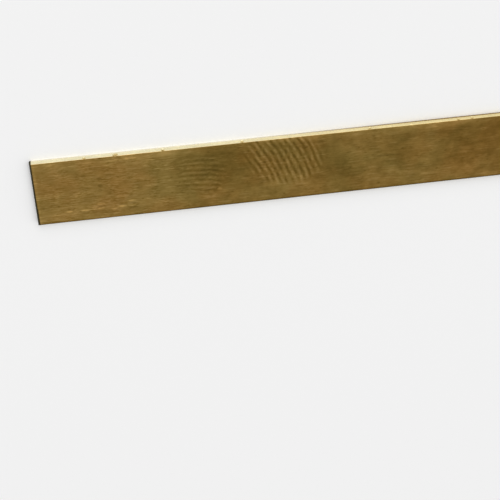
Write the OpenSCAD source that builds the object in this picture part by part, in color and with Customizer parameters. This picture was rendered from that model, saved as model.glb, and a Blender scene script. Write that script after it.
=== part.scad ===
// Brass strip: one length of flat stock, slit to width from sheet and sheared to length.
// X runs along the strip, Y across it, and Z up through it. The origin is at the middle of
// the underside, and the end at -X is the one with the nicks beside it.

/* [Strip] */
// Length of the strip, from sheared end to sheared end
strip_length = 300; // [60:5:1000]
// Width of the strip at the burnished land, its widest line
strip_width = 6; // [3:0.5:25]
// Thickness of the strip
strip_thickness = 0.5; // [0.4:0.05:1.6]

/* [Slit edges] */
// Radius that the slitting knife drew into each upper corner
slit_roll = 0.1; // [0.04:0.01:0.16]
// Height of the torn band that runs along the foot of each slit edge
slit_tear_height = 0.17; // [0.06:0.01:0.2]
// How far the torn band leans in from the land by the time it meets the underside
slit_tear_lean = 0.025; // [0.01:0.005:0.06]

/* [Sheared ends] */
// Radius that the shear blade drew into the upper corner of each end
end_roll = 0.15; // [0.05:0.01:0.18]
// Height of the torn band at the foot of each end
end_tear_height = 0.2; // [0.06:0.01:0.2]
// How far the torn band of an end leans in by the time it meets the underside
end_tear_lean = 0.04; // [0.01:0.005:0.08]

/* [Nicks] */
// Distance of the nicks from the sheared end, along the +Y edge
nick_places = [4.2, 6.6, 10.3, 16.5, 26.7, 33.9, 35];
// Width of a nick along the edge
nick_width = 0.35; // [0.2:0.05:0.6]
// Depth of a nick, square to the edge
nick_depth = 0.07; // [0.02:0.01:0.1]
// How far below the upper face the middle of a nick lies
nick_drop = 0.1; // [0.05:0.01:0.2]

/* [Hidden] */
$fn = 48;
brass = [0.49, 0.39, 0.19];
// A solid that cuts another, or that is cut by one, stands past it by this much
overshoot = 1;
// A nick is the mark of a ball whose middle lies outside the edge
nick_ball = (pow(nick_width / 2, 2) + pow(nick_depth, 2)) / (2 * nick_depth);
nick_out = nick_ball - nick_depth;

// Outline left by two knives: rounded where they went in, upright along the land,
// and leaning in below where the metal tore. It is centred, with its foot at y = 0.
module cut_outline(span, height, roll, tear_height, tear_lean) {
    half = span / 2;
    foot = half - tear_lean;
    polygon([[-foot, 0], [foot, 0], [half, tear_height], [-half, tear_height]]);
    translate([-half, tear_height]) square([span, height - roll - tear_height]);
    translate([roll - half, tear_height]) square([span - 2 * roll, height - tear_height]);
    for (side = [-1, 1])
        translate([side * (half - roll), height - roll]) circle(r = roll);
}

// Section across the strip, run out past both ends
module slit_section() {
    rotate([90, 0, 90])
        linear_extrude(strip_length + 2 * overshoot, center = true)
            cut_outline(strip_width, strip_thickness, slit_roll, slit_tear_height, slit_tear_lean);
}

// Outline seen from the side, with both sheared ends, run out past both edges
module sheared_profile() {
    rotate([90, 0, 0])
        linear_extrude(strip_width + 2 * overshoot, center = true)
            cut_outline(strip_length, strip_thickness, end_roll, end_tear_height, end_tear_lean);
}

// Small dents where the edge was knocked in handling, at the foot of its rolled corner
module edge_nicks() {
    for (place = nick_places)
        translate([place - strip_length / 2, strip_width / 2 + nick_out, strip_thickness - nick_drop])
            sphere(r = nick_ball);
}

module strip() {
    color(brass)
        difference() {
            intersection() {
                slit_section();
                sheared_profile();
            }
            edge_nicks();
        }
}

strip();
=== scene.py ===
import math

import bmesh
import bpy
from mathutils import Matrix, Vector


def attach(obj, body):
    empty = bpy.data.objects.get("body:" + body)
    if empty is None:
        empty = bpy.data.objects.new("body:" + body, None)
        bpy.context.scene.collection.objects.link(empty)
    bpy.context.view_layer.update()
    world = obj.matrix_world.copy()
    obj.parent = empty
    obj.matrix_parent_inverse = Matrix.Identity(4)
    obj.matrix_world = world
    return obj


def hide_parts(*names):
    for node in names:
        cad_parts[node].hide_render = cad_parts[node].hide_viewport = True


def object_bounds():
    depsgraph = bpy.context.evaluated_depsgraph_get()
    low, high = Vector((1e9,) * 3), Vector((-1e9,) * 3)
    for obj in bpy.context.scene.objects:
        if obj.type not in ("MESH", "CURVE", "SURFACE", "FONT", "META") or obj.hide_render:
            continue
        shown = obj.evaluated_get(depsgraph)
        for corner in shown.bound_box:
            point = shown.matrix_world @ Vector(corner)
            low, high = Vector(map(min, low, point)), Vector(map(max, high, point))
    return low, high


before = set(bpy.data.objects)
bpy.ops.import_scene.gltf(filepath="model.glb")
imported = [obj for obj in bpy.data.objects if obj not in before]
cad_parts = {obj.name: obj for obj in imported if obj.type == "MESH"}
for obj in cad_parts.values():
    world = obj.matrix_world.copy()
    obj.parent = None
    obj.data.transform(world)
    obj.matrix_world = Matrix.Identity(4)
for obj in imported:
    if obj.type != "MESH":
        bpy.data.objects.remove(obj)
cad_low, cad_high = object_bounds()

MM = 0.001
ALONG, ACROSS, UP = 0, 1, 2

# The strip's outer size comes from the frame. The edge sizes are the ones of the solid.
LENGTH, WIDTH, THICK = cad_high - cad_low
SLIT_ROLL = 0.1 * MM
SLIT_TEAR_HEIGHT = 0.17 * MM
SLIT_TEAR_LEAN = 0.025 * MM
END_ROLL = 0.15 * MM
END_TEAR_HEIGHT = 0.2 * MM
END_TEAR_LEAN = 0.04 * MM

# Nicks in the +Y edge, at the foot of its rolled corner, in mm: distance from the seen end, width along the
# edge, and depth
NICKS = [(4.2, 0.3, 0.07), (6.6, 0.5, 0.08), (10.3, 0.36, 0.07), (16.5, 0.36, 0.07), (26.7, 0.36, 0.07),
         (33.9, 0.3, 0.07), (35, 0.3, 0.06)]
NICK_DROP = 0.1 * MM

# Mesh spacing
ROLL_STEPS = 6
HOLDING_ROW = 0.03 * MM
NICK_STEP = 0.025 * MM
RING_STEP = 5 * MM
ROW_STEP = 1 * MM
MERGE_WITHIN = 0.001 * MM
SHARP_ANGLE = math.radians(30)


def linear(hex_colour):
    """An sRGB hex colour as linear RGBA."""
    parts = [int(hex_colour[i:i + 2], 16) / 255 for i in (1, 3, 5)]
    return [p / 12.92 if p <= 0.04045 else ((p + 0.055) / 1.055) ** 2.4 for p in parts] + [1]


def direction(azimuth, elevation):
    """The way from the strip to a camera or lamp. Azimuth 0 is the -Y side, and 90 degrees the +X side."""
    level = math.cos(elevation)
    return Vector((math.sin(azimuth) * level, -math.cos(azimuth) * level, math.sin(elevation)))


# Camera

# The photograph looks down on the upper face from the +Y side, with the seen end to the left
CAMERA_AZIMUTH = math.radians(189.51)
CAMERA_ELEVATION = math.radians(49.43)
CAMERA_ROLL = math.radians(166.27)
CAMERA_DISTANCE = 107.53 * MM
CAMERA_LENS = 92.29
CAMERA_NEAR = 10 * MM
SENSOR = 36
# The point of the floor in the middle of the picture, from the middle of the strip's end at -X
AIM_ALONG = 16.996 * MM
AIM_ACROSS = -8.398 * MM


def make_camera():
    """The camera, at the photograph's place and angle."""
    cam = bpy.data.objects.new("camera", bpy.data.cameras.new("camera"))
    bpy.context.scene.collection.objects.link(cam)
    cam.data.lens = CAMERA_LENS
    cam.data.sensor_width = SENSOR
    cam.data.clip_start = CAMERA_NEAR
    back = direction(CAMERA_AZIMUTH, CAMERA_ELEVATION)
    aim = Vector((cad_low.x + AIM_ALONG, AIM_ACROSS, 0))
    turn = back.to_track_quat("Z", "Y").to_matrix() @ Matrix.Rotation(CAMERA_ROLL, 3, "Z")
    cam.matrix_world = Matrix.Translation(aim + back * CAMERA_DISTANCE) @ turn.to_4x4()
    bpy.context.scene.camera = cam


make_camera()
bpy.context.scene.view_settings.view_transform = "Standard"


# Strip

def cut(bm, axis, place):
    """Adds a ring of edges where the plane at this place crosses the mesh."""
    co = Vector((0, 0, 0))
    no = Vector((0, 0, 0))
    co[axis] = place
    no[axis] = 1
    bmesh.ops.bisect_plane(bm, geom=bm.verts[:] + bm.edges[:] + bm.faces[:], plane_co=co, plane_no=no)


def cut_between(bm, axis, start, end, step):
    """Adds rings of edges from start to end, both of them included, about a step apart."""
    count = round((end - start) / step)
    for i in range(count + 1):
        cut(bm, axis, start + (end - start) * i / count)


def drop(inset, radius):
    """How far a rolled corner lies below the flat face, at this distance in from the edge."""
    out = max(radius - inset, 0)
    return radius - math.sqrt(max(radius ** 2 - out ** 2, 0))


def lean(height, tear_height, tear_lean):
    """How far a torn band lies inside the land above it, at this height."""
    return tear_lean * max(1 - height / tear_height, 0)


def press_to_outline(v):
    """Moves a vertex of the blank onto the rolled corners and torn bands, where it lies outside them."""
    half_y = WIDTH / 2 - lean(v.co.z, SLIT_TEAR_HEIGHT, SLIT_TEAR_LEAN)
    half_x = LENGTH / 2 - lean(v.co.z, END_TEAR_HEIGHT, END_TEAR_LEAN)
    roof = THICK - max(drop(WIDTH / 2 - abs(v.co.y), SLIT_ROLL), drop(LENGTH / 2 - abs(v.co.x), END_ROLL))
    v.co.x = max(min(v.co.x, half_x), -half_x)
    v.co.y = max(min(v.co.y, half_y), -half_y)
    v.co.z = min(v.co.z, roof)


def cut_faces(bm):
    """Rows that follow the rolled corners, one past each that keeps their shading off the flat face, and a
    plain grid between them."""
    for side in (-1, 1):
        for i in range(1, ROLL_STEPS + 1):
            share = 1 - math.cos(math.radians(90) * i / ROLL_STEPS)
            cut(bm, ACROSS, side * (WIDTH / 2 - SLIT_ROLL * share))
            cut(bm, ALONG, side * (LENGTH / 2 - END_ROLL * share))
        cut(bm, ACROSS, side * (WIDTH / 2 - SLIT_ROLL - HOLDING_ROW))
        cut(bm, ALONG, side * (LENGTH / 2 - END_ROLL - HOLDING_ROW))
    cut_between(bm, ACROSS, ROW_STEP - WIDTH / 2, WIDTH / 2 - ROW_STEP, ROW_STEP)
    cut_between(bm, ALONG, RING_STEP - LENGTH / 2, LENGTH / 2 - RING_STEP, RING_STEP)


def cut_edges(bm):
    """Rows at the limits of the lands and torn bands, and close rows and rings where the nicks lie."""
    cut_between(bm, UP, SLIT_TEAR_HEIGHT, THICK - SLIT_ROLL, NICK_STEP)
    for height in (END_TEAR_HEIGHT, THICK - END_ROLL):
        cut(bm, UP, height)
    for along, width, _ in NICKS:
        middle = along * MM - LENGTH / 2
        reach = width * MM / 2 + 2 * NICK_STEP
        cut_between(bm, ALONG, middle - reach, middle + reach, NICK_STEP)


def dent(bm, along, width, depth):
    """Presses a ball into the +Y edge, at the foot of its rolled corner."""
    radius = ((width / 2) ** 2 + depth ** 2) / (2 * depth)
    ball = Vector((along - LENGTH / 2, WIDTH / 2 + radius - depth, THICK - NICK_DROP))
    for v in bm.verts:
        away = v.co - ball
        if away.length < radius:
            v.co = ball + away.normalized() * radius


def build_strip():
    """A square blank, cut into rows, pressed onto the strip's outline and then nicked."""
    bm = bmesh.new()
    bmesh.ops.create_cube(bm, size=1)
    bmesh.ops.scale(bm, vec=(LENGTH, WIDTH, THICK), verts=bm.verts)
    bmesh.ops.translate(bm, vec=(0, 0, THICK / 2), verts=bm.verts)
    cut_faces(bm)
    cut_edges(bm)
    for v in bm.verts:
        press_to_outline(v)
    bmesh.ops.remove_doubles(bm, verts=bm.verts, dist=MERGE_WITHIN)
    for along, width, depth in NICKS:
        dent(bm, along * MM, width * MM, depth * MM)
    return bm


def finish_piece(bm, name, material):
    """Makes a bmesh an object of the scene, with its material and its shading."""
    bmesh.ops.recalc_face_normals(bm, faces=bm.faces)
    mesh = bpy.data.meshes.new(name)
    bm.to_mesh(mesh)
    bm.free()
    mesh.materials.append(material)
    mesh.shade_smooth()
    mesh.set_sharp_from_angle(angle=SHARP_ANGLE)
    piece = bpy.data.objects.new(name, mesh)
    bpy.context.scene.collection.objects.link(piece)
    return piece


# Finishes of the brass

# The film that air and fingers leave, and bare or torn metal where the knives went through
FILM_BROWN = "#9b773c"
FILM_OLIVE = "#947b40"
# Bare land paled by a painted highlight
LAND_PALE_HIGHLIGHT = "#f0e8c4"
LAND_GOLD = "#f2e2ac"
TORN_LIGHT = "#ece6d2"
TORN_DARK = "#9a804f"
SHEARED_DARK = "#453f2a"
# Painted shade for the nicks
NICK_SHADE = "#d6c38c"

# Roughness, which for the film swings between two values with its streaks
FILM_DULL = 0.44
FILM_SMOOTH = 0.36
LAND_ROUGH = 0.35
TORN_ROUGH = 0.7
DIRT_ROUGH = 0.6

# Heights of the fine relief, counted in thousandths of a mm
RELIEF_UNIT = 0.001 * MM
STREAK_HEIGHT = 8
PIT_HEIGHT = -8
TORN_HEIGHT = 12

# The patterns' places and sizes are in mm: distance from the seen end, then place across the strip. A place
# on the underside has UNDERSIDE added to its place across.
HALF_LENGTH = LENGTH / 2 / MM
HALF_WIDTH = WIDTH / 2 / MM
HEIGHT = THICK / MM
CORNER = SLIT_ROLL / MM
UNDERSIDE = 40
WHOLE_WIDTH = 1000

# An oval patch is full inside its core and ends softly at its limit, as shares of its half size
OVAL_CORE = 0.4
OVAL_LIMIT = 1.1

# Stretches where the face is lighter and more mottled: middle, half size, slant of their limits, and core
LIGHT_STRETCHES = [(0, 0, 12.6, WHOLE_WIDTH, 0, 0.7), (84, 0, 15, WHOLE_WIDTH, 0.6, 0.1),
                   (158, 0, 11, WHOLE_WIDTH, -0.8, 0.2), (247, 0, 17, WHOLE_WIDTH, 0.5, 0.1)]
# Elsewhere the face is darker, and keeps this share of the light
DARKER_SHARE = 0.76

# Patterns of the film: how many to the mm along and across, and how far each swings the tone. The fine ones
# are the marks of the rolls and of handling. Real ones are a few hundredths of a mm wide, too fine to show,
# so they are drawn about a tenth wide. The broad ones are the film itself.
FINE_PATTERNS = [(1.1, 8.5, 0.17), (3.0, 8.5, 0.16), (0.3, 9.0, 0.12)]
BROAD_PATTERNS = [(0.8, 1.2, 0.13), (0.1, 1.3, 0.04)]
# Soft blotches, which show where the face is darker
BLOTCHES = [(2.2, 2.8, 0.08), (1.0, 1.3, 0.08)]

# Noise runs from about the first of these values to the last
NOISE_LOW = 0.3
NOISE_MIDDLE = 0.5
NOISE_HIGH = 0.7
# Patches of noise: how many swells to the mm, their detail, and the values of the noise between which a
# patch sets in
MARKED = (0.9, 1, 0.36, 0.62)
RUB_AND_SHEEN_PATCHES = (0.16, 1, 0.36, 0.58)
OLIVE = (0.35, 2, 0.36, 0.64)
PORES = (2, 2, 0.38, 0.58)
NICK_SHADE_PATCHES = (9, 1, 0.42, 0.56)

# The strength of the fine marks outside and inside the marked patches, and the share of it that the darker
# stretches and the clearest finger ridges leave
FINE_OUTSIDE = 0.4
FINE_INSIDE = 1.25
FINE_IN_DARK = 0.54
FINE_IN_RIDGES = 0.45
# The range that the fine patterns mostly keep to, and the one of the whole tone of the film
FINE_LOW = 0.8
FINE_HIGH = 1.2
TONE_LOW = 0.5
TONE_HIGH = 1.4
# Saturation of the darkest film and of the lightest
DEEP = 1.06
PALE = 0.96

# The share of olive outside and inside the olive patches, and ovals where the film is more olive, or more
# brown where the last number is under 0: place, half length, half width, and how much
OLIVE_OUTSIDE = 0.25
OLIVE_INSIDE = 0.75
HUES = [(4.4, -0.4, 4.4, 3, -0.15), (11.8, 0.6, 3.4, 3.4, 0.5), (20.5, 0, 3.5, 4, 0.1),
        (27, 0.6, 4, 3.6, 0.3), (38.5, 0.4, 7, 4.5, -0.5)]

# The -Y part of the upper face is wiped lighter: softly past the first of these places across, fully past
# the second, and less where the face is lighter. The limit waves, with so many swells to the mm. One
# stretch
# is full of short dashes: place, half length, half width.
WIPED_FROM = -1.1
WIPED_FULL = -1.7
WIPED_WAVES = 0.25
WIPED_GAIN = 1.17
WIPED_IN_LIGHT = 0.5
WIPED_STRETCH = (5.2, -1.75, 4.6, 0.8)

# Light that the face gains beside the +Y edge, in rubbed places and as a painted highlight spreading from
# the bright edge, and the share that it keeps under painted shade beside the -Y edge. Both bands are given
# by their distances from the edge.
RUB_AND_SHEEN_GAIN = 1.45
RUB_AND_SHEEN_BAND = (0.7, 0.1)
EDGE_SHADE = 0.6
EDGE_SHADE_BAND = (0.3, 0.05)

# Scattered marks: length and width of the cells that they lie in, their radius as a share of a cell, and
# the share of the cells that have one. Then the share of the light that they keep, over 1 where they are
# lighter than the film.
DASHES = (1.5, 0.22, 0.42, 0.2)
DASH_LIGHT = 1.16
WIPING = (0.9, 0.24, 0.5, 0.4)
WIPING_LIGHT = 1.2
SCRATCHES = (9, 0.22, 0.3, 0.1)
SCRATCH_LIGHT = 1.08
PITS = (0.6, 0.36, 0.24, 0.06)
PIT_LIGHT = 0.82

# Oval marks, by size: half length and half width, then the place of each and the share of the light that it
# keeps, which is over 1 where it is lighter than the film beside it
SMUDGES = [
    # Short dashes that wiping left near the seen end
    (0.4, 0.13, [(2.5, -1.95, 1.4), (3.8, -1.93, 1.45), (5.1, -1.47, 1.4), (5.1, -1.95, 1.35),
                 (6.75, -1.93, 1.45), (7.6, -1.47, 1.35), (7.6, -1.93, 1.25), (2.7, -1.7, 0.85),
                 (5.1, -1.72, 0.82), (6.7, -1.68, 0.85), (7.6, -1.72, 0.84), (3.8, -2.2, 0.86),
                 (4.6, -2.2, 0.87), (7.6, -2.15, 0.88)]),
    # Spots
    (0.25, 0.2, [(5.2, 0.3, 0.72), (5.2, 0.95, 0.78), (5.15, -0.15, 0.85), (4.0, 1.35, 0.85),
                 (8.3, -0.3, 0.82), (12.05, -0.7, 0.8), (1.45, -0.5, 0.86), (1.4, -1.1, 0.86),
                 (13.9, -1.4, 1.3), (14.6, -1.25, 1.4), (15.1, -1.5, 1.15), (25.1, 1.0, 0.86),
                 (28.3, -0.35, 0.82), (35.0, -1.65, 1.15)]),
    # Scratches and rubbed places
    (1.2, 0.14, [(28.2, 0.3, 0.83), (32.0, -1.9, 1.15), (35.4, -1.85, 1.08), (7.2, 2.6, 1.12)]),
    (0.9, 0.45, [(11.5, 1.3, 0.86), (26.8, -1.0, 1.12), (28.4, -1.15, 1.22), (31.4, -0.7, 1.1),
                 (32.1, 0.9, 1.1)]),
    # A painted highlight line inside the dark one at each end
    (0.12, 3.6, [(0.26, 0.4, 1.13), (299.74, 0.4, 1.13)]),
    # Wider films, the last ones where the rest of the strip was held
    (3, 1.9, [(15.0, 1.2, 0.84), (35.2, 1.6, 0.89), (20.3, -0.3, 1.07), (26.2, 1.2, 1.19)]),
    (1.6, 2, [(23.9, 0, 0.9), (25.2, -1.7, 0.87), (29.2, 0.8, 0.93), (31.0, 0.4, 1.14)]),
    (2.4, 0.8, [(20.2, -1.2, 1.12), (37.6, -1.8, 0.91)]),
    (8, 0.5, [(10, -2.4, 0.92), (7.5, 2.4, 1.1), (29.5, 2.6, 1.15)]),
    (8, 2.8, [(58, -0.5, 0.8), (97, 1.2, 0.84), (141, -1, 0.8), (188, 0.8, 0.85), (233, -0.6, 0.8),
              (279, 0.9, 0.82), (32, UNDERSIDE, 0.82), (121, UNDERSIDE + 1, 0.84),
              (203, UNDERSIDE - 1, 0.8), (266, UNDERSIDE, 0.84)])]

# Ridges that fingertips left, as plain arcs: place, half size and tilt of the patch, then the middle of the
# arcs and their strength
RIDGE_PITCH = 0.47
RIDGE_CORE = 0.8
# The share of their strength that is left where the skin touched less
RIDGE_GAPS = 0.2
CLEAREST_PATCH = (19.8, 1.1, 3.3, 2.5, -0.35)
RIDGES = [(13.3, 0.3, 1.9, 1.9, 0, 12.0, -9.5, 0.24), (*CLEAREST_PATCH, 3.0, -6.5, 0.36),
          (61, 0.2, 3.4, 2.4, 0.2, 54, -4, 0.2), (143, -0.2, 3.2, 2.5, -0.2, 151, -3, 0.2),
          (236, 0.4, 3.3, 2.4, 0.3, 229, 5, 0.2)]
# At Scale 1 the wave texture has a ring every math.tau / 20
RING_SCALE = math.tau / 20 / RIDGE_PITCH

# The film of the face gives way to the bare land between these heights, and the land to the ragged torn
# band between the next two
LAND_FROM = 0.492
LAND_FULL = 0.445
TORN_LOW = 0.13
TORN_HIGH = 0.21
# Stretches over which the land turns from pale, a painted highlight, to golden, and the torn band from
# light to dark
LAND_TURNS = (6, 34)
TORN_TURNS = (14, 34)
# Marks of the knife and softer patches, which vary the land as the patterns above do the film
LAND_PATTERNS = [(6, 6, 0.03), (0.9, 0.9, 0.06)]
# Grain of the torn band, as swells to the mm
TORN_GRAIN = 6

# Painted shade in the rolled corners, which stands in for the shadow under the -Y edge and dims the
# highlight on the +Y one: the heights and the distances from the edge over which it sets in, and the share
# of the light that it keeps on the -Y side. The share on the +Y side changes along a stretch.
ROLL_UP = (0.43, 0.47)
ROLL_OUT = (0.1, 0.07)
FAR_ROLL_SHADE = 0.45
NEAR_ROLL_SHADE = (0.9, 0.95)
NEAR_ROLL_TURNS = (4, 36)
# The places across between which the share changes from one side's to the other's
FAR_SIDE = -1
NEAR_SIDE = 1

# The dark line at each end, the places across between which it widens towards the -Y edge, and how soft its
# limit is
END_LINE = 0.14
END_LINE_WIDE = 0.17
WIDE_FROM = -1.3
WIDE_FULL = -1.4
END_LINE_BLUR = 0.015

# A nick shows softly from the first to the second of these depths inside the section's own arc, and no
# further in from the edge than its band. The painted shade in it thins to a share in places.
DENT_FROM = 0.005
DENT_FULL = 0.015
NICK_BAND = 0.08
NICK_SHADE_GAPS = 0.25

# Settings and sockets that many of the nodes share
SOFT = {"interpolation_type": "SMOOTHSTEP"}
OVAL = {"vector_type": "TEXTURE"}
OF_COLOURS = {"data_type": "RGBA"}
COLOUR_A, COLOUR_B, COLOUR_OUT = 6, 7, 2


def add(tree, kind, settings, inputs, out=0):
    """Adds one node: its own settings, then each input as a value or as a link. Returns one output."""
    made = tree.nodes.new("ShaderNode" + kind)
    for name, value in settings.items():
        setattr(made, name, value)
    for key, value in inputs.items():
        if isinstance(value, bpy.types.NodeSocket):
            tree.links.new(value, made.inputs[key])
        else:
            made.inputs[key].default_value = value
    return made.outputs[out]


def product(tree, factors):
    """All the factors multiplied together."""
    total = factors[0]
    for factor in factors[1:]:
        total = add(tree, "Math", {"operation": "MULTIPLY"}, {0: total, 1: factor})
    return total


def patches(tree, place, swells, detail, start, full, outside=0, inside=1):
    """Soft patches of noise, with one value outside them and another inside."""
    noise = add(tree, "TexNoise", {}, {"Vector": place, "Scale": swells, "Detail": detail})
    return add(tree, "MapRange", SOFT, {"Value": noise, "From Min": start, "From Max": full,
                                        "To Min": outside, "To Max": inside})


def swings(tree, place, patterns):
    """Noise patterns multiplied together, each of them a factor that swings about 1."""
    factors = []
    for along, across, swing in patterns:
        cells = add(tree, "Mapping", {}, {"Vector": place, "Scale": (along, across, 1)})
        noise = add(tree, "TexNoise", {}, {"Vector": cells, "Scale": 1, "Detail": 2, "Roughness": 0.6})
        limits = {"From Min": NOISE_LOW, "From Max": NOISE_HIGH, "To Min": 1 - swing, "To Max": 1 + swing}
        factors.append(add(tree, "MapRange", {}, {"Value": noise, **limits}))
    return product(tree, factors)


def patch(tree, place, along, across, half_length, half_width, tilt=0, core=OVAL_CORE):
    """1 in the core of an oval patch, falling softly to 0 at its limit."""
    spot = add(tree, "Mapping", OVAL, {"Vector": place, "Location": (along, across, 0),
                                       "Rotation": (0, 0, tilt), "Scale": (half_length, half_width, 1)})
    distance = add(tree, "VectorMath", {"operation": "LENGTH"}, {0: spot}, "Value")
    return add(tree, "MapRange", SOFT, {"Value": distance, "From Min": OVAL_LIMIT, "From Max": core})


def smudges(tree, at):
    """Films where the strip was held, small spots and rubbed marks, and a painted highlight line at each
    end. The marks of one size share one scaled place, because a material that needs too many values at one
    time renders black."""
    light = []
    for half_length, half_width, spots in SMUDGES:
        size = (half_length, half_width, 1)
        scaled = add(tree, "VectorMath", {"operation": "DIVIDE"}, {0: at["face"], 1: size})
        for along, across, kept in spots:
            middle = (along / half_length, across / half_width, 0)
            distance = add(tree, "VectorMath", {"operation": "DISTANCE"}, {0: scaled, 1: middle}, "Value")
            light.append(add(tree, "MapRange", SOFT, {"Value": distance, "From Min": OVAL_LIMIT,
                                                      "From Max": OVAL_CORE, "To Min": 1, "To Max": kept}))
    return product(tree, light)


def ridges(tree, at):
    """Light and dark lines, half a millimetre apart, where a fingertip touched the metal."""
    contact = patches(tree, at["face"], *PORES, outside=RIDGE_GAPS)
    shown = []
    for *spot, middle_x, middle_y, strength in RIDGES:
        about = add(tree, "Mapping", OVAL, {"Vector": at["face"], "Location": (middle_x, middle_y, 0)})
        wave = add(tree, "TexWave", {"wave_type": "RINGS", "rings_direction": "Z"},
                   {"Vector": about, "Scale": RING_SCALE, "Distortion": 2, "Detail": 2,
                    "Detail Scale": 1}, "Fac")
        mask = patch(tree, at["face"], *spot, core=RIDGE_CORE)
        line = add(tree, "MapRange", {}, {"Value": wave, "To Min": -strength, "To Max": strength})
        masked = product(tree, [line, mask, contact])
        shown.append(add(tree, "Math", {"operation": "ADD"}, {0: masked, 1: 1}))
    return product(tree, shown)


def specks(tree, place, cell_length, cell_width, radius, picked):
    """Scattered oval marks, 1 in their middle, in this share of the cells of a given size in mm."""
    stretched = add(tree, "Mapping", {}, {"Vector": place, "Scale": (1 / cell_length, 1 / cell_width, 1)})
    cells = add(tree, "TexVoronoi", {"voronoi_dimensions": "2D"}, {"Vector": stretched, "Scale": 1})
    chance = add(tree, "SeparateColor", {}, {0: cells.node.outputs["Color"]})
    chosen = add(tree, "Math", {"operation": "LESS_THAN"}, {0: chance, 1: picked})
    mark = add(tree, "MapRange", SOFT, {"Value": cells, "From Min": radius, "From Max": radius / 2})
    return product(tree, [mark, chosen])


def places(tree):
    """Places on the strip in mm, in the forms that the patterns use. The last two are distances from the
    strip's middle, across it and along it."""
    position = add(tree, "TexCoord", {}, {}, "Object")
    place = add(tree, "VectorMath", {"operation": "MULTIPLY_ADD"},
                {0: position, 1: (1 / MM, 1 / MM, 1 / MM), 2: (HALF_LENGTH, 0, 0)})
    along = add(tree, "SeparateXYZ", {}, {0: place}, "X")
    across = along.node.outputs["Y"]
    up = along.node.outputs["Z"]
    on_top = add(tree, "Math", {"operation": "GREATER_THAN"}, {0: up, 1: HEIGHT / 2})
    shift = add(tree, "MapRange", {}, {"Value": on_top, "To Min": UNDERSIDE, "To Max": 0})
    face_across = add(tree, "Math", {"operation": "ADD"}, {0: across, 1: shift})
    face = add(tree, "CombineXYZ", {}, {"X": along, "Y": face_across})
    from_middle = add(tree, "Math", {"operation": "ABSOLUTE"}, {0: across})
    past_half = add(tree, "Math", {"operation": "SUBTRACT"}, {0: along, 1: HALF_LENGTH})
    from_half = add(tree, "Math", {"operation": "ABSOLUTE"}, {0: past_half})
    return {"place": place, "along": along, "across": across, "up": up, "face": face,
            "face_across": face_across, "from_middle": from_middle, "from_half": from_half}


def fine_marks(tree, at, dark, fine):
    """The fine patterns, weaker in some patches, where the face is darker and in the clearest ridges."""
    marked = patches(tree, at["face"], *MARKED, FINE_OUTSIDE, FINE_INSIDE)
    ridged = patch(tree, at["face"], *CLEAREST_PATCH, core=RIDGE_CORE)
    in_ridges = add(tree, "MapRange", {}, {"Value": ridged, "To Min": 1, "To Max": FINE_IN_RIDGES})
    in_dark = add(tree, "MapRange", {}, {"Value": dark, "To Min": 1, "To Max": FINE_IN_DARK})
    strength = product(tree, [marked, in_ridges, in_dark])
    return add(tree, "MapRange", {"clamp": False}, {"Value": strength, "To Min": 1, "To Max": fine})


def wiping(tree, at, dark):
    """How much lighter the wiped part is. Its limit is wavy, and it shows less where the face is lighter.
    """
    wave = add(tree, "TexNoise", {}, {"Vector": at["face"], "Scale": WIPED_WAVES, "Detail": 1})
    limit = add(tree, "Math", {"operation": "ADD"}, {0: at["face_across"], 1: wave})
    wiped = add(tree, "MapRange", SOFT, {"Value": limit, "From Min": WIPED_FROM + NOISE_MIDDLE,
                                         "From Max": WIPED_FULL + NOISE_MIDDLE})
    in_dark = add(tree, "MapRange", {}, {"Value": dark, "To Min": WIPED_IN_LIGHT})
    return add(tree, "MapRange", {}, {"Value": product(tree, [wiped, in_dark]),
                                      "To Min": 1, "To Max": WIPED_GAIN})


def beside_edges(tree, at):
    """Lighter here and there beside the +Y edge, where the film is rubbed and a painted highlight spreads
    from the edge, and darker beside the other under painted shade.
    """
    # Rubbed film and a painted highlight beside the +Y edge
    rubbed_off = patches(tree, at["face"], *RUB_AND_SHEEN_PATCHES)
    band = add(tree, "MapRange", SOFT, {"Value": at["across"], "From Min": HALF_WIDTH - RUB_AND_SHEEN_BAND[0],
                                        "From Max": HALF_WIDTH - RUB_AND_SHEEN_BAND[1]})
    rubbed = add(tree, "MapRange", {}, {"Value": product(tree, [band, rubbed_off]),
                                        "To Min": 1, "To Max": RUB_AND_SHEEN_GAIN})
    # Painted shade beside the -Y edge
    edge_shade = add(tree, "MapRange", SOFT, {"Value": at["across"], "From Min": EDGE_SHADE_BAND[0] - HALF_WIDTH,
                                         "From Max": EDGE_SHADE_BAND[1] - HALF_WIDTH,
                                         "To Min": 1, "To Max": EDGE_SHADE})
    return product(tree, [rubbed, edge_shade])


def scattered(tree, at):
    """The light of the scattered marks, and where the pits among them lie."""
    pits = specks(tree, at["face"], *PITS)
    wiped = product(tree, [specks(tree, at["face"], *WIPING), patch(tree, at["face"], *WIPED_STRETCH)])
    kinds = [(specks(tree, at["face"], *DASHES), DASH_LIGHT), (wiped, WIPING_LIGHT),
             (specks(tree, at["face"], *SCRATCHES), SCRATCH_LIGHT), (pits, PIT_LIGHT)]
    light = [add(tree, "MapRange", {}, {"Value": mask, "To Min": 1, "To Max": kept})
             for mask, kept in kinds]
    return product(tree, light), pits


def film_hue(tree, at):
    """The film's colour, between brown and olive, before it is lightened or darkened."""
    olive = patches(tree, at["face"], *OLIVE, OLIVE_OUTSIDE, OLIVE_INSIDE)
    for *spot, more in HUES:
        olive = add(tree, "Math", {"operation": "MULTIPLY_ADD", "use_clamp": True},
                    {0: patch(tree, at["face"], *spot), 1: more, 2: olive})
    return add(tree, "Mix", OF_COLOURS, {"Factor": olive, COLOUR_A: linear(FILM_BROWN),
                                         COLOUR_B: linear(FILM_OLIVE)}, COLOUR_OUT)


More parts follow.
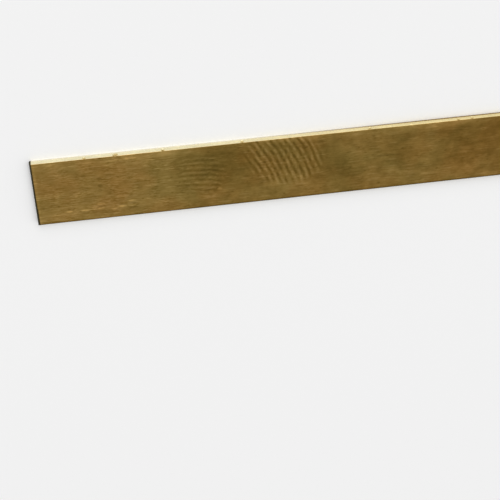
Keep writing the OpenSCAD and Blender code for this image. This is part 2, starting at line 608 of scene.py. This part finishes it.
def film(tree, at):
    """The brown to olive film on the flat faces, with painted highlight and shade beside the edges and a
    painted highlight line at each end. Returns its colour, roughness and height.
    """
    light = [patch(tree, at["face"], *stretch) for stretch in LIGHT_STRETCHES]
    dark = product(tree, [add(tree, "MapRange", {}, {"Value": share, "To Min": 1, "To Max": 0})
                          for share in light])
    fine = swings(tree, at["face"], FINE_PATTERNS)
    scattered_light, pits = scattered(tree, at)
    fine_tone = product(tree, [fine_marks(tree, at, dark, fine), ridges(tree, at), scattered_light])

    dark_tone = add(tree, "MapRange", {}, {"Value": dark, "To Min": 1, "To Max": DARKER_SHARE})
    broad = swings(tree, at["face"], BROAD_PATTERNS)
    soft = swings(tree, at["face"], BLOTCHES)
    blotches = add(tree, "MapRange", {}, {"Value": dark, "To Min": 1, "To Max": soft})
    tone = product(tree, [dark_tone, broad, blotches, wiping(tree, at, dark), beside_edges(tree, at),
                          smudges(tree, at), fine_tone])

    # Film that is lighter is paler too, and most of all in the fine marks, which count twice
    scaled = add(tree, "VectorMath", {"operation": "SCALE"}, {0: film_hue(tree, at), "Scale": tone})
    depth = add(tree, "MapRange", {}, {"Value": product(tree, [tone, fine_tone]), "From Min": TONE_LOW,
                                       "From Max": TONE_HIGH, "To Min": DEEP, "To Max": PALE})
    colour = add(tree, "HueSaturation", {}, {"Color": scaled, "Saturation": depth})

    roughness = add(tree, "MapRange", {}, {"Value": fine, "From Min": FINE_LOW, "From Max": FINE_HIGH,
                                           "To Min": FILM_DULL, "To Max": FILM_SMOOTH})
    pitted = add(tree, "MapRange", {}, {"Value": pits, "To Min": 0, "To Max": PIT_HEIGHT})
    height = add(tree, "Math", {"operation": "MULTIPLY_ADD"}, {0: fine, 1: STREAK_HEIGHT, 2: pitted})
    return colour, roughness, height


def corner_painted_shade(tree, at):
    """The share of the light that is kept under the painted shade in the rolled corners."""
    high = add(tree, "MapRange", SOFT, {"Value": at["up"], "From Min": ROLL_UP[0], "From Max": ROLL_UP[1]})
    outer = add(tree, "MapRange", SOFT, {"Value": at["from_middle"], "From Min": HALF_WIDTH - ROLL_OUT[0],
                                         "From Max": HALF_WIDTH - ROLL_OUT[1]})
    near = add(tree, "MapRange", SOFT, {"Value": at["along"], "From Min": NEAR_ROLL_TURNS[0],
                                        "From Max": NEAR_ROLL_TURNS[1], "To Min": NEAR_ROLL_SHADE[0],
                                        "To Max": NEAR_ROLL_SHADE[1]})
    kept = add(tree, "MapRange", SOFT, {"Value": at["across"], "From Min": FAR_SIDE, "From Max": NEAR_SIDE,
                                        "To Min": FAR_ROLL_SHADE, "To Max": near})
    return add(tree, "MapRange", {}, {"Value": product(tree, [high, outer]), "To Min": 1, "To Max": kept})


def slit_edge(tree, at):
    """What the slitting knives left: a burnished land of bare metal, paler near the seen end with a painted
    highlight, and a torn band at its foot. Returns its colour, roughness and height, and where it lies."""
    outer = add(tree, "Math", {"operation": "GREATER_THAN"},
                {0: at["from_middle"], 1: HALF_WIDTH - CORNER / 2})
    below = add(tree, "MapRange", SOFT, {"Value": at["up"], "From Min": LAND_FROM, "From Max": LAND_FULL})
    where = product(tree, [outer, below])

    golden = add(tree, "MapRange", SOFT, {"Value": at["along"], "From Min": LAND_TURNS[0],
                                          "From Max": LAND_TURNS[1]})
    # The pale land near the seen end is a painted highlight
    bare = add(tree, "Mix", OF_COLOURS, {"Factor": golden, COLOUR_A: linear(LAND_PALE_HIGHLIGHT),
                                         COLOUR_B: linear(LAND_GOLD)}, COLOUR_OUT)
    lines = swings(tree, at["place"], LAND_PATTERNS)
    land = add(tree, "VectorMath", {"operation": "SCALE"}, {0: bare, "Scale": lines})

    grain = add(tree, "TexNoise", {}, {"Vector": at["place"], "Scale": TORN_GRAIN, "Detail": 2})
    limit = add(tree, "MapRange", {}, {"Value": grain, "To Min": TORN_LOW, "To Max": TORN_HIGH})
    torn = add(tree, "Math", {"operation": "LESS_THAN"}, {0: at["up"], 1: limit})
    dirty = add(tree, "MapRange", SOFT, {"Value": at["along"], "From Min": TORN_TURNS[0],
                                         "From Max": TORN_TURNS[1]})
    torn_colour = add(tree, "Mix", OF_COLOURS, {"Factor": dirty, COLOUR_A: linear(TORN_LIGHT),
                                                COLOUR_B: linear(TORN_DARK)}, COLOUR_OUT)

    wall = add(tree, "Mix", OF_COLOURS, {"Factor": torn, COLOUR_A: land, COLOUR_B: torn_colour}, COLOUR_OUT)
    roughness = add(tree, "MapRange", {}, {"Value": torn, "To Min": LAND_ROUGH, "To Max": TORN_ROUGH})
    height = product(tree, [torn, grain, TORN_HEIGHT])
    return wall, roughness, height, where


def nicked(tree, at):
    """Where the +Y edge is dented and gets painted shade: inside the rolled corner and land that its
    section has.
    """
    out = add(tree, "Math", {"operation": "MAXIMUM"}, {0: at["across"], 1: HALF_WIDTH - CORNER})
    high = add(tree, "Math", {"operation": "MAXIMUM"}, {0: at["up"], 1: HEIGHT - CORNER})
    section = add(tree, "CombineXYZ", {}, {"X": out, "Y": high})
    reach = add(tree, "VectorMath", {"operation": "DISTANCE"},
                {0: section, 1: (HALF_WIDTH - CORNER, HEIGHT - CORNER, 0)}, "Value")
    inside = add(tree, "MapRange", SOFT, {"Value": reach, "From Min": CORNER - DENT_FROM,
                                          "From Max": CORNER - DENT_FULL})
    above_torn = add(tree, "Math", {"operation": "GREATER_THAN"}, {0: at["up"], 1: SLIT_TEAR_HEIGHT / MM})
    beside = add(tree, "Math", {"operation": "GREATER_THAN"}, {0: at["across"], 1: HALF_WIDTH - NICK_BAND})
    nick_shade_patches = patches(tree, at["place"], *NICK_SHADE_PATCHES, outside=NICK_SHADE_GAPS)
    return product(tree, [inside, above_torn, beside, nick_shade_patches])


def sheared_end(tree, at):
    """Where the outer part of each end lies, which is dark and dull: a narrow line that is wider beside the
    -Y edge."""
    wide = add(tree, "MapRange", SOFT, {"Value": at["across"], "From Min": WIDE_FROM, "From Max": WIDE_FULL,
                                        "To Min": END_LINE, "To Max": END_LINE_WIDE})
    reach = add(tree, "Math", {"operation": "ADD"}, {0: at["from_half"], 1: wide})
    return add(tree, "MapRange", SOFT, {"Value": reach, "From Min": HALF_LENGTH - END_LINE_BLUR,
                                        "From Max": HALF_LENGTH + END_LINE_BLUR})


def brass():
    """Cold rolled brass sheet, slit and sheared to strip. The rolls leave streaks along it, air and fingers
    a brown to olive film that dulls the flat faces, and the knives bright edges above a dull torn band."""
    material = bpy.data.materials.new("brass_cold_rolled_tarnished")
    material.use_nodes = True
    tree = material.node_tree
    shader = tree.nodes["Principled BSDF"]
    at = places(tree)
    face_colour, face_rough, face_height = film(tree, at)
    edge_colour, edge_rough, edge_height, on_edge = slit_edge(tree, at)
    on_end = sheared_end(tree, at)
    in_nick = nicked(tree, at)

    sides = add(tree, "Mix", OF_COLOURS, {"Factor": on_edge, COLOUR_A: face_colour,
                                          COLOUR_B: edge_colour}, COLOUR_OUT)
    # Painted shade in the rolled corners, darkest on the -Y side
    corner_shaded = add(tree, "VectorMath", {"operation": "SCALE"}, {0: sides, "Scale": corner_painted_shade(tree, at)})
    # Painted shade in the nicks
    nick_shaded = add(tree, "Mix", OF_COLOURS, {"Factor": in_nick, COLOUR_A: corner_shaded,
                                            COLOUR_B: linear(NICK_SHADE)}, COLOUR_OUT)
    colour = add(tree, "Mix", OF_COLOURS, {"Factor": on_end, COLOUR_A: nick_shaded,
                                           COLOUR_B: linear(SHEARED_DARK)}, COLOUR_OUT)
    tree.links.new(colour, shader.inputs["Base Color"])

    dirty = add(tree, "Math", {"operation": "MAXIMUM"}, {0: on_end, 1: in_nick})
    clean = add(tree, "MapRange", {}, {"Value": on_edge, "To Min": face_rough, "To Max": edge_rough})
    rough = add(tree, "MapRange", {}, {"Value": dirty, "To Min": clean, "To Max": DIRT_ROUGH})
    tree.links.new(rough, shader.inputs["Roughness"])

    height = add(tree, "MapRange", {}, {"Value": on_edge, "To Min": face_height, "To Max": edge_height})
    bump = add(tree, "Bump", {}, {"Height": height, "Distance": RELIEF_UNIT})
    tree.links.new(bump, shader.inputs["Normal"])
    shader.inputs["Metallic"].default_value = 1
    return material


strip = finish_piece(build_strip(), "strip_metal", brass())
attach(strip, "root")
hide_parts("strip")


# Floor and light

CARD_WHITE = "#f8f8f8"
CARD_ROUGH = 0.9
CARD_SHINE = 0.1
FLOOR_SIZE = 20
FLOOR_GAP = 0.002 * MM
WORLD_LEVEL = 0.7


def card():
    """Matt white card, which gives an even pale ground."""
    material = bpy.data.materials.new("card_matt_white")
    material.use_nodes = True
    shader = material.node_tree.nodes["Principled BSDF"]
    shader.inputs["Base Color"].default_value = linear(CARD_WHITE)
    shader.inputs["Roughness"].default_value = CARD_ROUGH
    shader.inputs["Specular IOR Level"].default_value = CARD_SHINE
    return material


def build_floor():
    """One flat square, just under the strip so that the two don't share a plane."""
    bm = bmesh.new()
    bmesh.ops.create_grid(bm, x_segments=1, y_segments=1, size=FLOOR_SIZE)
    bmesh.ops.translate(bm, vec=(0, 0, -FLOOR_GAP), verts=bm.verts)
    return bm


def softbox(name, azimuth, elevation, distance, size, power):
    """A square lamp that faces the middle of the strip, at angles in degrees and sizes in metres."""
    lamp = bpy.data.objects.new(name, bpy.data.lights.new(name, "AREA"))
    bpy.context.scene.collection.objects.link(lamp)
    lamp.data.size = size
    lamp.data.energy = power
    back = direction(math.radians(azimuth), math.radians(elevation))
    turn = back.to_track_quat("Z", "Y").to_matrix()
    lamp.matrix_world = Matrix.Translation(back * distance) @ turn.to_4x4()


finish_piece(build_floor(), "floor", card())

world = bpy.data.worlds.new("studio")
world.use_nodes = True
sky = world.node_tree.nodes["Background"]
sky.inputs["Color"].default_value = (WORLD_LEVEL, WORLD_LEVEL, WORLD_LEVEL, 1)
bpy.context.scene.world = world

softbox("key", azimuth=180, elevation=35, distance=2.4, size=2, power=30)
